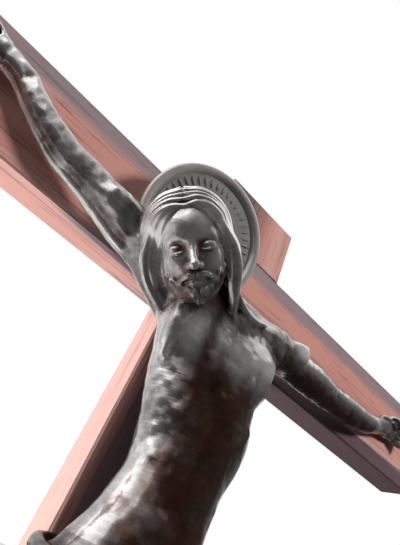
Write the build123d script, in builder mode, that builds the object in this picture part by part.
"""Wall crucifix: a cast bronze corpus with a nimbus, nailed to a half-lapped wooden cross.

The origin is the middle of the crossing on the back face, which lies against the wall.
+Z points up the cross, -Y points out of the wall towards the viewer, +X is the figure's left.
"""

import os
from math import cos, pi, radians, sin, tan

from build123d import *

os.makedirs("parts", exist_ok=True)

# Wooden cross, millimetres
CROSS_HEIGHT = 240.0
CROSS_SPAN = 143.0
UPRIGHT_WIDTH = 22.0
CROSSBAR_WIDTH = 22.0
BEAM_THICKNESS = 7.5
HEAD_RISE = 15.5
ARRIS = 0.35
LAP_share = 0.5

# Fits shared by every pin, nail and screw
CLEARANCE = 0.1
OVERRUN = 5.0

# Corpus: torso
BACK_GAP = 1.2
SHOULDER_DROP = 11.5
TORSO_LENGTH = 46.0
CHEST_WIDTH = 21.2
CHEST_DEPTH = 12.6
OVAL_SIDES = 10

# Corpus: arms and hands
RIGHT_SHOULDER_OUT = 20.0
LEFT_SHOULDER_OUT = 12.4
LEFT_SHOULDER_LIFT = 1.8
RIGHT_NAIL_OUT = 60.0
LEFT_NAIL_OUT = 58.5
RIGHT_NAIL_RISE = 4.0
LEFT_NAIL_RISE = 0.8
SHOULDER_RADIUS = 4.1
DELTOID_RADIUS = 3.9
BICEPS_RADIUS = 3.4
ELBOW_RADIUS = 2.9
FOREARM_RADIUS = 2.6
WRIST_RADIUS = 2.15
PALM_LENGTH = 8.0
PALM_WIDTH = 6.0
PALM_THICKNESS = 2.8
FINGER_LENGTH = 6.2
FINGER_RADIUS = 0.72
FINGER_CURL = 2.0
DIGIT_SIDES = 6
THUMB_LENGTH = 5.6

# Corpus: neck, head, hair and beard
NECK_RADIUS = 4.2
HEAD_OUT = 17.0
HEAD_FORWARD = 5.2
HEAD_DROP = 10.0
HEAD_HEIGHT = 15.6
HEAD_WIDTH = 11.4
HEAD_DEPTH = 13.0
LOCK_RADIUS = 1.9
BEARD_LENGTH = 1.2
NOSE_HEIGHT = 1.3
HEAD_UP = Vector(-0.73, -0.19, 0.66)
HEAD_FACING = Vector(-0.29, -0.72, -0.63)

# Corpus: loincloth
CLOTH_TOP_DROP = 37.5
CLOTH_LENGTH = 20.0
CLOTH_WIDTH = 23.6
CLOTH_DEPTH = 14.2
KNOT_RADIUS = 2.4
KNOT_DROP = 7.0
TAIL_LENGTH = 19.0
TAIL_WIDTH = 5.2
TAIL_FOLDS = 3

# Corpus: legs and feet
HIP_SHIFT = -4.0
HIP_SPREAD = 9.2
KNEE_DROP = 72.0
KNEE_SHIFT = -2.4
KNEE_SPREAD = 8.6
KNEE_FORWARD = 4.6
ANKLE_DROP = 95.0
ANKLE_SPREAD = 2.6
THIGH_RADIUS = 5.3
KNEE_RADIUS = 4.1
CALF_RADIUS = 3.8
ANKLE_RADIUS = 2.4
FOOT_LENGTH = 13.5
FOOT_WIDTH = 5.4
FOOT_THICKNESS = 3.7
TOE_RADIUS = 0.75
TOES = 5

# Nimbus and its rivet
NIMBUS_OUT = 14.1
NIMBUS_RISE = 0.4
NIMBUS_RADIUS = 12.9
NIMBUS_THICKNESS = 0.9
NIMBUS_LEAN = 15.6
NIMBUS_FOOT_GAP = 1.9
RIM_WIDTH = 1.6
RIM_HEIGHT = 0.6
GROOVE_WIDTH = 0.7
GROOVE_DEPTH = 0.35
RAY_LENGTH = 1.5
RAY_WIDTH = 0.55
RAY_HEIGHT = 0.3
RAYS = 11
RAY_SECTOR = 100.0
RIVET_DROP = 6.2
RIVET_RADIUS = 0.9
RIVET_LENGTH = 3.2
RIVET_HEAD_RADIUS = 1.7
RIVET_HEAD_HEIGHT = 0.7
BOSS_RADIUS = 2.4

# Nails
NAIL_RADIUS = 0.8
NAIL_HEAD_RADIUS = 1.5
NAIL_HEAD_HEIGHT = 0.9
NAIL_SEAT_DEPTH = 0.5
FOOT_NAIL_DROP = 102.0
NAIL_BITE_share = 0.6
HEAD_TAPER = 30.0
PIN_SIDES = 8

# Hanger, sunk in the back so that the cross lies flat on the wall
KNUCKLE_RISE = 14.6
STRAP_WIDTH = 8.0
STRAP_THICKNESS = 0.8
STRAP_SINK = 0.1
STRAP_END = 2.5
POCKET_GAP = 0.6
POCKET_CORNER = 2.0
RING_WIRE_RADIUS = 0.9
RING_CLEARANCE = 0.2
RING_SIDE_PLAY = 0.4
RING_CORNER_RADIUS = 1.8
RING_SIDE = 0.6
WIRE_SIDES = 8
SCREW_RADIUS = 1.0
SCREW_PITCH = 5.0
COUNTERSINK_ANGLE = 90.0
SCREW_BITE_share = 0.3

# Tables of shares
# torso rows: drop along the torso, shift and width by the chest's width, depth by its depth
torso_shares = [
    (0.04, -0.165, 1.06, 0.78),
    (0.12, -0.15, 1.10, 0.89),
    (0.21, -0.14, 1.00, 0.97),
    (0.30, -0.12, 0.92, 1.00),
    (0.39, -0.08, 0.90, 0.97),
    (0.49, -0.06, 0.78, 0.89),
    (0.59, -0.08, 0.67, 0.82),
    (0.69, -0.11, 0.72, 0.84),
    (0.80, -0.16, 0.86, 0.92),
    (0.92, -0.19, 0.94, 0.98),
    (1.02, -0.19, 0.84, 0.90),
]
# yoke rows: place along the shoulder line, drop and height by the shoulder's radius, depth
yoke_shares = [
    (0.22, 0.62, 1.15, 0.80),
    (0.48, 0.95, 1.25, 0.86),
    (0.76, 0.75, 1.15, 0.80),
]
# arm rows: place along the line from shoulder to palm, sag below that line by its length
right_arm_shares = [(0.0, 0.0), (0.12, 0.018), (0.28, 0.034), (0.44, 0.04), (0.60, 0.042), (0.86, 0.0)]
left_arm_shares = [(0.0, 0.0), (0.12, 0.01), (0.30, 0.026), (0.46, 0.045), (0.64, 0.054), (0.86, 0.012)]
# palm rows: place along the palm from its middle, then width and thickness
palm_shares = [(-0.35, 0.84, 1.3), (0.0, 1.0, 1.0), (0.3, 1.0, 0.9), (0.5, 0.86, 0.7)]
# thickness of a finger and of the thumb from root to tip
digit_shares = (1.1, 1.0, 0.75)
thumb_shares = (1.4, 1.2, 0.9)
# knuckles along the palm, fingers: place across the palm and length
knuckle_share = 0.3
finger_shares = [(0.36, 0.9), (0.12, 1.0), (-0.12, 0.96), (-0.35, 0.8)]
# head rows: height from its middle, shift to the front, width, depth
head_shares = [
    (-0.50, 0.27, 0.30, 0.24),
    (-0.40, 0.20, 0.58, 0.54),
    (-0.20, 0.09, 0.85, 0.82),
    (0.05, 0.02, 1.00, 0.98),
    (0.25, 0.0, 0.94, 0.98),
    (0.42, 0.0, 0.64, 0.70),
    (0.50, 0.0, 0.20, 0.24),
]
# hair rows: height from the head's middle, shift to the back, width, depth
hair_shares = [
    (0.55, 0.03, 0.24, 0.24),
    (0.45, 0.05, 0.80, 0.76),
    (0.24, 0.10, 1.13, 1.00),
    (0.0, 0.15, 1.22, 0.98),
    (-0.26, 0.20, 1.20, 0.86),
    (-0.50, 0.24, 1.10, 0.66),
]
# hair locks: side by the head's width, front by its depth, height by its height, thickness
lock_shares = [
    (0.50, 0.22, 0.22, 0.6),
    (0.58, 0.16, -0.06, 1.0),
    (0.56, 0.06, -0.34, 1.0),
    (0.50, -0.02, -0.62, 0.7),
]
# beard rows: height below the head's middle, fall, front, width, depth
beard_shares = [
    (0.26, 0.0, 0.24, 0.62, 0.50),
    (0.40, 0.0, 0.27, 0.60, 0.44),
    (0.50, 0.3, 0.28, 0.46, 0.34),
    (0.50, 1.0, 0.28, 0.14, 0.12),
]
# nose rows: height, front, rise, width, depth
nose_shares = [
    (0.12, 0.44, 0.0, 0.16, 0.10),
    (-0.02, 0.45, 0.5, 0.17, 0.13),
    (-0.10, 0.45, 0.8, 0.26, 0.15),
    (-0.13, 0.44, 0.4, 0.24, 0.12),
]
# cloth rows: drop along the cloth, shift by its width, width, depth, shift to the front by its depth
cloth_shares = [
    (0.0, -0.16, 0.93, 1.02, 0.0),
    (0.10, -0.165, 1.00, 1.06, 0.0),
    (0.24, -0.17, 0.99, 1.04, 0.01),
    (0.60, -0.175, 1.02, 1.06, 0.05),
    (1.0, -0.17, 0.99, 1.00, 0.10),
]
# tail rows: drop, spread of the folds, thickness
tail_shares = [(0.0, 0.5, 0.5), (0.3, 0.8, 0.62), (0.75, 1.1, 0.72), (1.0, 1.25, 0.5)]
# thigh rows, then the calf: place along the bone
thigh_shares = (0.0, 0.35, 0.72)
calf_place_share = 0.38
# the upper foot's rise over the lower one, by the foot's thickness
foot_layer_share = 0.85
# foot rows: place along the foot, width, thickness
foot_shares = [(0.0, 0.80, 1.3), (0.3, 0.88, 1.1), (0.65, 1.0, 0.9), (0.88, 0.94, 0.6)]

# Worked-out places
FRONT = -BEAM_THICKNESS
UPRIGHT_TOP = CROSSBAR_WIDTH / 2 + HEAD_RISE
LAP_DEPTH = BEAM_THICKNESS * LAP_share
SPINE = FRONT - BACK_GAP - CHEST_DEPTH / 2
PALM = FRONT - PALM_THICKNESS / 2
NAIL_BITE = BEAM_THICKNESS * NAIL_BITE_share

RIGHT_SHOULDER = Vector(-RIGHT_SHOULDER_OUT, SPINE, -SHOULDER_DROP)
LEFT_SHOULDER = Vector(LEFT_SHOULDER_OUT, SPINE, LEFT_SHOULDER_LIFT - SHOULDER_DROP)
RIGHT_PALM = Vector(-RIGHT_NAIL_OUT, PALM, RIGHT_NAIL_RISE)
LEFT_PALM = Vector(LEFT_NAIL_OUT, PALM, LEFT_NAIL_RISE)

HEAD_CENTRE = Vector(-HEAD_OUT, SPINE - HEAD_FORWARD, -HEAD_DROP)
HEAD = Plane(origin=HEAD_CENTRE, x_dir=HEAD_UP.cross(HEAD_FACING), z_dir=HEAD_UP)

NIMBUS_NORMAL = Vector(0, -cos(radians(NIMBUS_LEAN)), -sin(radians(NIMBUS_LEAN)))
NIMBUS_STANDOFF = NIMBUS_FOOT_GAP + NIMBUS_THICKNESS + NIMBUS_RADIUS * sin(radians(NIMBUS_LEAN))
NIMBUS_CENTRE = Vector(-NIMBUS_OUT, FRONT - NIMBUS_STANDOFF, NIMBUS_RISE)
# the disc's front field, its local y pointing up the disc
NIMBUS = Plane(origin=NIMBUS_CENTRE, x_dir=(1, 0, 0), z_dir=NIMBUS_NORMAL)
GROOVE_RADIUS = NIMBUS_RADIUS - RIM_WIDTH - GROOVE_WIDTH
RAY_INNER_RADIUS = GROOVE_RADIUS - RAY_LENGTH
RAY_START = (180 - RAY_SECTOR) / 2

WOOD_FACE = Plane(origin=(0, FRONT, 0), x_dir=(1, 0, 0), z_dir=(0, -1, 0))
BACK_FACE = Plane(origin=(0, 0, 0), x_dir=(-1, 0, 0), z_dir=(0, 1, 0))
FOOT_NAIL_HEIGHT = -SHOULDER_DROP - FOOT_NAIL_DROP
# nails: name, place on the wood, metal between the wood and the head's seat
NAILS = [
    ("hand_nail_right", (-RIGHT_NAIL_OUT, RIGHT_NAIL_RISE), PALM_THICKNESS - NAIL_SEAT_DEPTH),
    ("hand_nail_left", (LEFT_NAIL_OUT, LEFT_NAIL_RISE), PALM_THICKNESS - NAIL_SEAT_DEPTH),
    ("foot_nail", (0, FOOT_NAIL_HEIGHT), FOOT_THICKNESS * (1 + foot_layer_share) - NAIL_SEAT_DEPTH),
]

KNUCKLE_BORE = RING_WIRE_RADIUS + RING_CLEARANCE
KNUCKLE_RADIUS = KNUCKLE_BORE + STRAP_THICKNESS
KNUCKLE_DEPTH = STRAP_SINK + KNUCKLE_RADIUS
PIN_HALF = STRAP_WIDTH / 2 + RING_SIDE_PLAY
BOW_RADIUS = PIN_HALF + RING_CORNER_RADIUS
RING_REACH = RING_CORNER_RADIUS + RING_SIDE + BOW_RADIUS
POCKET_DEPTH = KNUCKLE_DEPTH + KNUCKLE_RADIUS + CLEARANCE
POCKET_WIDTH = (BOW_RADIUS + RING_WIRE_RADIUS + POCKET_GAP) * 2
POCKET_FOOT = KNUCKLE_RISE - KNUCKLE_RADIUS - POCKET_GAP
POCKET_TOP = KNUCKLE_RISE + RING_REACH + RING_WIRE_RADIUS + POCKET_GAP
SCREW_HEAD_RADIUS = SCREW_RADIUS + STRAP_THICKNESS * tan(radians(COUNTERSINK_ANGLE / 2))
SCREW_BITE = BEAM_THICKNESS * SCREW_BITE_share
SCREWS = [
    ("hanger_screw_upper", POCKET_FOOT - STRAP_END),
    ("hanger_screw_lower", POCKET_FOOT - STRAP_END - SCREW_PITCH),
]
STRAP_FOOT = SCREWS[-1][1] - STRAP_END
STRAP_BED = STRAP_SINK + STRAP_THICKNESS


def add_oval(radius_x, radius_y):
    """A many-sided oval, drawn in the sketch that is open."""
    turn = 2 * pi / OVAL_SIDES
    corners = [(radius_x * cos(turn * side), radius_y * sin(turn * side)) for side in range(OVAL_SIDES)]
    Polygon(*corners, align=None)


def section_plane(point, heading):
    """A plane square to a limb, its x across the limb as seen from the front."""
    return Plane(origin=point, x_dir=heading.cross(Vector(0, 1, 0)), z_dir=heading)


def add_limb(points, across, front):
    """Loft oval sections through the points of a limb, square to its run."""
    sections = []
    for index, point in enumerate(points):
        before = points[max(index - 1, 0)]
        after = points[min(index + 1, len(points) - 1)]
        with BuildSketch(section_plane(point, (after - before).normalized())) as section:
            add_oval(across[index], front[index])
        sections.append(section.sketch)
    loft(sections)


def add_digit(points, radii):
    """Loft six-sided sections through the points of a finger, toe, lock or fold."""
    sections = []
    for index, point in enumerate(points):
        before = points[max(index - 1, 0)]
        after = points[min(index + 1, len(points) - 1)]
        with BuildSketch(section_plane(point, (after - before).normalized())) as section:
            RegularPolygon(radii[index], DIGIT_SIDES)
        sections.append(section.sketch)
    loft(sections, ruled=True)


def add_stack(base, rows):
    """Loft ovals stacked up a plane's z: rows of height, x shift, y shift, x and y radius."""
    sections = []
    for height, shift_x, shift_y, radius_x, radius_y in rows:
        place = base.from_local_coords(Vector(shift_x, shift_y, height))
        with BuildSketch(Plane(origin=place, x_dir=base.x_dir, z_dir=base.z_dir)) as section:
            add_oval(radius_x, radius_y)
        sections.append(section.sketch)
    loft(sections)


def arm_rows(shoulder, palm, arm_shares):
    """Sections of one arm from its shoulder to its knuckles: points, heights and depths."""
    reach = palm - shoulder
    points = [shoulder + reach * along - Vector(0, 0, reach.length * sag) for along, sag in arm_shares]
    radii = [SHOULDER_RADIUS, DELTOID_RADIUS, BICEPS_RADIUS, ELBOW_RADIUS, FOREARM_RADIUS, WRIST_RADIUS]
    outward = 1 if reach.X > 0 else -1
    points += [palm + Vector(outward * PALM_LENGTH * place, 0, 0) for place, _, _ in palm_shares]
    heights = radii + [PALM_WIDTH / 2 * width for _, width, _ in palm_shares]
    depths = radii + [PALM_THICKNESS / 2 * depth for _, _, depth in palm_shares]
    return points, heights, depths


def add_fingers(palm):
    """Four fingers curling away from the wood, and the thumb along the palm's upper edge."""
    outward = 1 if palm.X > 0 else -1
    for across, length in finger_shares:
        knuckle = palm + Vector(outward * PALM_LENGTH * knuckle_share, 0, PALM_WIDTH * across)
        run = FINGER_LENGTH * length
        finger = [
            knuckle,
            knuckle + Vector(outward * run / 2, -FINGER_CURL / 3, 0),
            knuckle + Vector(outward * run, -FINGER_CURL, 0),
        ]
        add_digit(finger, [FINGER_RADIUS * size for size in digit_shares])
    root = palm + Vector(-outward * PALM_LENGTH / 4, 0, PALM_WIDTH / 4)
    thumb = [
        root,
        root + Vector(outward * THUMB_LENGTH / 2, -FINGER_RADIUS, PALM_WIDTH / 3),
        root + Vector(outward * THUMB_LENGTH, -FINGER_CURL, PALM_WIDTH / 4),
    ]
    add_digit(thumb, [FINGER_RADIUS * size for size in thumb_shares])


def add_leg(side, foot_layer):
    """One leg and foot; layer 0 is the foot on the wood, layer 1 the foot crossed over it."""
    hip = Vector(HIP_SHIFT + side * HIP_SPREAD / 2, SPINE, -SHOULDER_DROP - TORSO_LENGTH)
    knee = Vector(KNEE_SHIFT + side * KNEE_SPREAD / 2, SPINE - KNEE_FORWARD, -SHOULDER_DROP - KNEE_DROP)
    foot_middle = FRONT - FOOT_THICKNESS * (1 / 2 + foot_layer_share * foot_layer)
    ankle = Vector(side * ANKLE_SPREAD / 2, foot_middle - ANKLE_RADIUS / 2, -SHOULDER_DROP - ANKLE_DROP)
    calf = knee + (ankle - knee) * calf_place_share
    bone = knee - hip
    points = [hip + bone * along for along in thigh_shares]
    points += [knee, calf, ankle]
    radii = [THIGH_RADIUS, THIGH_RADIUS, (THIGH_RADIUS + KNEE_RADIUS) / 2]
    radii += [KNEE_RADIUS, CALF_RADIUS, ANKLE_RADIUS]
    add_limb(points, radii, radii)
    toes = Vector(-side * ANKLE_SPREAD / 4, foot_middle, ankle.Z - FOOT_LENGTH)
    run = toes - ankle
    foot_points = [ankle + run * along for along, _, _ in foot_shares]
    widths = [FOOT_WIDTH / 2 * width for _, width, _ in foot_shares]
    depths = [FOOT_THICKNESS / 2 * depth for _, _, depth in foot_shares]
    add_limb(foot_points, widths, depths)
    pitch = (FOOT_WIDTH - TOE_RADIUS * 2) / (TOES - 1)
    for toe in range(TOES):
        place = foot_points[-1] + Vector((toe - (TOES - 1) / 2) * pitch, 0, TOE_RADIUS)
        tip = place + run.normalized() * (TOE_RADIUS * 4)
        add_digit([place, tip], [TOE_RADIUS] * 2)


def add_pin(seat, place, shank_radius, shank_length, head_radius, head_height, head_taper):
    """A many-sided pin: its shank sinks below the seat and its tapered head stands on it."""
    with BuildSketch(seat) as shank:
        with Locations(place):
            RegularPolygon(shank_radius, PIN_SIDES)
    extrude(shank.sketch, amount=-shank_length)
    with BuildSketch(seat) as head:
        with Locations(place):
            RegularPolygon(head_radius, PIN_SIDES)
    extrude(head.sketch, amount=head_height, taper=head_taper)


# Upright, its half-lap notch open to the front
with BuildPart() as upright:
    with BuildSketch(WOOD_FACE):
        with Locations((0, UPRIGHT_TOP)):
            Rectangle(UPRIGHT_WIDTH, CROSS_HEIGHT, align=(Align.CENTER, Align.MAX))
    extrude(amount=-BEAM_THICKNESS)
    chamfer(upright.edges().filter_by(Axis.Z), ARRIS)
    with BuildSketch(WOOD_FACE):
        Rectangle(UPRIGHT_WIDTH + OVERRUN, CROSSBAR_WIDTH)
    extrude(amount=-LAP_DEPTH, mode=Mode.SUBTRACT)
    with Locations(WOOD_FACE * Pos(0, FOOT_NAIL_HEIGHT)):
        Hole(NAIL_RADIUS + CLEARANCE, NAIL_BITE + CLEARANCE)
    with BuildSketch(BACK_FACE):
        with Locations((0, (POCKET_FOOT + POCKET_TOP) / 2)):
            RectangleRounded(POCKET_WIDTH, POCKET_TOP - POCKET_FOOT, POCKET_CORNER)
    extrude(amount=-POCKET_DEPTH, mode=Mode.SUBTRACT)
    with BuildSketch(BACK_FACE):
        with Locations((0, STRAP_FOOT - CLEARANCE)):
            Rectangle(STRAP_WIDTH + CLEARANCE * 2, KNUCKLE_RISE - STRAP_FOOT, align=(Align.CENTER, Align.MIN))
    extrude(amount=-STRAP_BED, mode=Mode.SUBTRACT)
    for _, height in SCREWS:
        with Locations(BACK_FACE * Pos(0, height)):
            Hole(SCREW_RADIUS + CLEARANCE, STRAP_BED + SCREW_BITE + CLEARANCE)
upright.part.label = "upright"
export_step(upright.part, "parts/upright.step")

# Crossbar, its half-lap notch open to the back
with BuildPart() as crossbar:
    with BuildSketch(WOOD_FACE):
        Rectangle(CROSS_SPAN, CROSSBAR_WIDTH)
    extrude(amount=-BEAM_THICKNESS)
    chamfer(crossbar.edges().filter_by(Axis.X), ARRIS)
    with BuildSketch(BACK_FACE):
        Rectangle(UPRIGHT_WIDTH, CROSSBAR_WIDTH + OVERRUN)
    extrude(amount=LAP_DEPTH - BEAM_THICKNESS, mode=Mode.SUBTRACT)
    for _, place, _ in NAILS[:2]:
        with Locations(WOOD_FACE * Pos(*place)):
            Hole(NAIL_RADIUS + CLEARANCE, NAIL_BITE + CLEARANCE)
crossbar.part.label = "crossbar"
export_step(crossbar.part, "parts/crossbar.step")

# Corpus: the cast figure, flat where its hands and feet lie on the wood
with BuildPart() as corpus:
    trunk = Plane(origin=(0, SPINE, -SHOULDER_DROP), x_dir=(1, 0, 0), z_dir=(0, 0, -1))
    add_stack(
        trunk,
        [
            (TORSO_LENGTH * drop, CHEST_WIDTH * shift, 0, CHEST_WIDTH / 2 * width, CHEST_DEPTH / 2 * depth)
            for drop, shift, width, depth in torso_shares
        ],
    )
    shoulder_line = LEFT_SHOULDER - RIGHT_SHOULDER
    yoke = [
        RIGHT_SHOULDER + shoulder_line * along - Vector(0, 0, SHOULDER_RADIUS * drop)
        for along, drop, _, _ in yoke_shares
    ]
    yoke_heights = [SHOULDER_RADIUS * height for _, _, height, _ in yoke_shares]
    yoke_depths = [CHEST_DEPTH / 2 * depth for _, _, _, depth in yoke_shares]
    right_points, right_heights, right_depths = arm_rows(RIGHT_SHOULDER, RIGHT_PALM, right_arm_shares)
    left_points, left_heights, left_depths = arm_rows(LEFT_SHOULDER, LEFT_PALM, left_arm_shares)
    # one run of sections from palm to palm across the shoulders
    add_limb(
        right_points[::-1] + yoke + left_points,
        right_heights[::-1] + yoke_heights + left_heights,
        right_depths[::-1] + yoke_depths + left_depths,
    )
    add_fingers(RIGHT_PALM)
    add_fingers(LEFT_PALM)
    neck_base = yoke[1]
    add_limb([neck_base, (neck_base + HEAD_CENTRE) / 2, HEAD_CENTRE], [NECK_RADIUS] * 3, [NECK_RADIUS] * 3)
    add_stack(
        HEAD,
        [
            (HEAD_HEIGHT * height, 0, -HEAD_DEPTH * shift, HEAD_WIDTH / 2 * width, HEAD_DEPTH / 2 * depth)
            for height, shift, width, depth in head_shares
        ],
    )
    add_stack(
        HEAD,
        [
            (HEAD_HEIGHT * height, 0, HEAD_DEPTH * shift, HEAD_WIDTH / 2 * width, HEAD_DEPTH / 2 * depth)
            for height, shift, width, depth in hair_shares
        ],
    )
    for side in (-1, 1):
        lock_points = [
            HEAD.from_local_coords(Vector(side * HEAD_WIDTH * out, -HEAD_DEPTH * front, HEAD_HEIGHT * height))
            for out, front, height, _ in lock_shares
        ]
        lock_radii = [LOCK_RADIUS * thickness for _, _, _, thickness in lock_shares]
        add_digit(lock_points, lock_radii)
    add_stack(
        HEAD,
        [
            (
                -HEAD_HEIGHT * height - BEARD_LENGTH * fall,
                0,
                -HEAD_DEPTH * front,
                HEAD_WIDTH / 2 * width,
                HEAD_DEPTH / 2 * depth,
            )
            for height, fall, front, width, depth in beard_shares
        ],
    )
    add_stack(
        HEAD,
        [
            (
                HEAD_HEIGHT * height,
                0,
                -HEAD_DEPTH * front - NOSE_HEIGHT * rise,
                HEAD_WIDTH / 2 * width,
                HEAD_DEPTH / 2 * depth,
            )
            for height, front, rise, width, depth in nose_shares
        ],
    )
    hips = Plane(origin=(0, SPINE, -SHOULDER_DROP - CLOTH_TOP_DROP), x_dir=(1, 0, 0), z_dir=(0, 0, -1))
    add_stack(
        hips,
        [
            (
                CLOTH_LENGTH * drop,
                CLOTH_WIDTH * shift,
                CLOTH_DEPTH * front,
                CLOTH_WIDTH / 2 * width,
                CLOTH_DEPTH / 2 * depth,
            )
            for drop, shift, width, depth, front in cloth_shares
        ],
    )
    knot_side = CLOTH_WIDTH * (cloth_shares[2][1] - 1 / 2)
    knot = hips.from_local_coords(Vector(knot_side, KNOT_RADIUS / 2, KNOT_DROP))
    with Locations(knot):
        Sphere(KNOT_RADIUS)
    for fold in range(TAIL_FOLDS):
        fold_y = (fold - (TAIL_FOLDS - 1) / 2) * TAIL_WIDTH / TAIL_FOLDS
        tail_points = [knot + Vector(0, fold_y * spread, -TAIL_LENGTH * drop) for drop, spread, _ in tail_shares]
        tail_radii = [TAIL_WIDTH / TAIL_FOLDS * size for _, _, size in tail_shares]
        add_digit(tail_points, tail_radii)
    add_leg(1, 0)
    add_leg(-1, 1)
    with BuildSketch(NIMBUS):
        with Locations((0, -RIVET_DROP)):
            Circle(BOSS_RADIUS)
    extrude(amount=(HEAD_CENTRE - NIMBUS_CENTRE).dot(NIMBUS_NORMAL))
    # room for the disc, its rim and its rays
    with BuildSketch(NIMBUS):
        Circle(NIMBUS_RADIUS + CLEARANCE)
    extrude(amount=-NIMBUS_THICKNESS - OVERRUN, mode=Mode.SUBTRACT)
    with BuildSketch(NIMBUS):
        Circle(NIMBUS_RADIUS + CLEARANCE)
        Circle(RAY_INNER_RADIUS - CLEARANCE, mode=Mode.SUBTRACT)
    extrude(amount=RIM_HEIGHT + CLEARANCE, mode=Mode.SUBTRACT)
    with Locations(NIMBUS * Pos(0, -RIVET_DROP)):
        Hole(RIVET_RADIUS + CLEARANCE, RIVET_LENGTH + CLEARANCE)
    split(bisect_by=WOOD_FACE, keep=Keep.TOP)
    for _, place, metal in NAILS:
        with BuildSketch(WOOD_FACE.offset(metal)):
            with Locations(place):
                Circle(NAIL_HEAD_RADIUS + CLEARANCE)
        extrude(amount=OVERRUN, mode=Mode.SUBTRACT)
        with BuildSketch(WOOD_FACE):
            with Locations(place):
                Circle(NAIL_RADIUS + CLEARANCE)
        extrude(amount=metal + OVERRUN, mode=Mode.SUBTRACT)
corpus.part.label = "corpus"
export_step(corpus.part, "parts/corpus.step")

# Nimbus: a thin turned disc with a raised rim, a groove and a sector of rays
with BuildPart() as nimbus:
    with BuildSketch(Plane(origin=NIMBUS_CENTRE, x_dir=(1, 0, 0), z_dir=-NIMBUS.y_dir)):
        with BuildLine():
            Polyline(
                (0, 0),
                (GROOVE_RADIUS, 0),
                (GROOVE_RADIUS + GROOVE_WIDTH / 2, -GROOVE_DEPTH),
                (NIMBUS_RADIUS - RIM_WIDTH, 0),
                (NIMBUS_RADIUS - RIM_WIDTH + RIM_HEIGHT / 2, RIM_HEIGHT),
                (NIMBUS_RADIUS - RIM_HEIGHT / 2, RIM_HEIGHT),
                (NIMBUS_RADIUS, RIM_HEIGHT / 2),
                (NIMBUS_RADIUS, -NIMBUS_THICKNESS),
                (0, -NIMBUS_THICKNESS),
                close=True,
            )
        make_face()
    revolve(axis=Axis(NIMBUS_CENTRE, NIMBUS_NORMAL))
    with BuildSketch(NIMBUS):
        with PolarLocations(RAY_INNER_RADIUS + RAY_LENGTH / 2, RAYS, RAY_START, RAY_SECTOR, endpoint=True):
            Rectangle(RAY_LENGTH, RAY_WIDTH)
    extrude(amount=RAY_HEIGHT)
    with Locations(NIMBUS * Pos(0, -RIVET_DROP)):
        Hole(RIVET_RADIUS + CLEARANCE)
nimbus.part.label = "nimbus"
export_step(nimbus.part, "parts/nimbus.step")

# Rivet from behind the disc into the boss on the head
with BuildPart() as nimbus_rivet:
    behind = Plane(NIMBUS.offset(-NIMBUS_THICKNESS).origin, NIMBUS.x_dir, -NIMBUS_NORMAL)
    shank = NIMBUS_THICKNESS + RIVET_LENGTH
    add_pin(behind, (0, RIVET_DROP), RIVET_RADIUS, shank, RIVET_HEAD_RADIUS, RIVET_HEAD_HEIGHT, HEAD_TAPER)
nimbus_rivet.part.label = "nimbus_rivet"
export_step(nimbus_rivet.part, "parts/nimbus_rivet.step")

# Nails through the palms and the crossed feet
for name, place, metal in NAILS:
    with BuildPart() as nail:
        shank = metal + NAIL_BITE
        seat = WOOD_FACE.offset(metal)
        add_pin(seat, place, NAIL_RADIUS, shank, NAIL_HEAD_RADIUS, NAIL_HEAD_HEIGHT, HEAD_TAPER)
    nail.part.label = name
    export_step(nail.part, f"parts/{name}.step")

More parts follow.
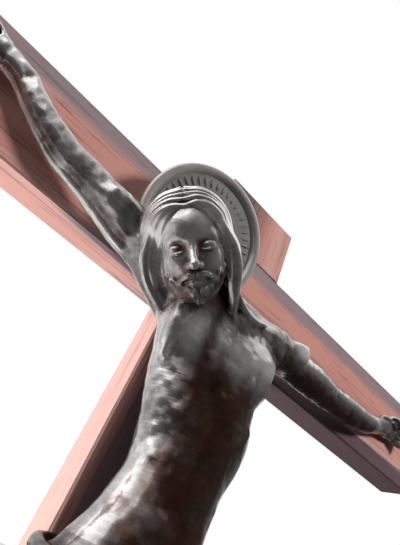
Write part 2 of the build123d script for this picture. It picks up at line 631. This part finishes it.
# Hanger strap: a plate whose upper end is rolled inwards into the knuckle
with BuildPart() as hanger_strap:
    with BuildSketch(Plane.YZ):
        with Locations((-KNUCKLE_DEPTH, KNUCKLE_RISE)):
            Circle(KNUCKLE_RADIUS)
        with Locations((-STRAP_SINK, KNUCKLE_RISE)):
            Rectangle(STRAP_THICKNESS, KNUCKLE_RISE - STRAP_FOOT, align=(Align.MAX, Align.MAX))
        with Locations((-KNUCKLE_DEPTH, KNUCKLE_RISE)):
            Circle(KNUCKLE_BORE, mode=Mode.SUBTRACT)
    extrude(amount=STRAP_WIDTH / 2, both=True)
    for _, height in SCREWS:
        with Locations(BACK_FACE.offset(-STRAP_SINK) * Pos(0, height)):
            CounterSinkHole(
                SCREW_RADIUS + CLEARANCE,
                SCREW_HEAD_RADIUS + CLEARANCE,
                depth=STRAP_BED,
                counter_sink_angle=COUNTERSINK_ANGLE,
            )
hanger_strap.part.label = "hanger_strap"
export_step(hanger_strap.part, "parts/hanger_strap.step")

# Countersunk hanger screws, flush with the strap
for name, height in SCREWS:
    with BuildPart() as screw:
        strap_bed = Plane(origin=(0, -STRAP_SINK, 0), x_dir=(1, 0, 0), z_dir=(0, -1, 0))
        taper = COUNTERSINK_ANGLE / 2
        shank = -STRAP_THICKNESS - SCREW_BITE
        add_pin(strap_bed, (0, height), SCREW_RADIUS, shank, SCREW_HEAD_RADIUS, STRAP_THICKNESS, taper)
    screw.part.label = name
    export_step(screw.part, f"parts/{name}.step")

# Hanger ring: a wire D whose straight side turns in the knuckle
with BuildPart() as hanger_ring:
    ring_plane = Plane(origin=(0, -KNUCKLE_DEPTH, KNUCKLE_RISE), x_dir=(1, 0, 0), z_dir=(0, -1, 0))
    bow_rise = RING_CORNER_RADIUS + RING_SIDE
    with BuildLine(ring_plane) as ring_path:
        Line((-PIN_HALF, 0), (PIN_HALF, 0))
        CenterArc((PIN_HALF, RING_CORNER_RADIUS), RING_CORNER_RADIUS, -90, 90)
        Line((BOW_RADIUS, RING_CORNER_RADIUS), (BOW_RADIUS, bow_rise))
        CenterArc((0, bow_rise), BOW_RADIUS, 0, 180)
        Line((-BOW_RADIUS, bow_rise), (-BOW_RADIUS, RING_CORNER_RADIUS))
        CenterArc((-PIN_HALF, RING_CORNER_RADIUS), RING_CORNER_RADIUS, 180, 90)
    with BuildSketch(Plane(origin=ring_path.line @ 0, z_dir=ring_path.line % 0)):
        RegularPolygon(RING_WIRE_RADIUS, WIRE_SIDES)
    sweep(path=ring_path.wires()[0])
hanger_ring.part.label = "hanger_ring"
export_step(hanger_ring.part, "parts/hanger_ring.step")
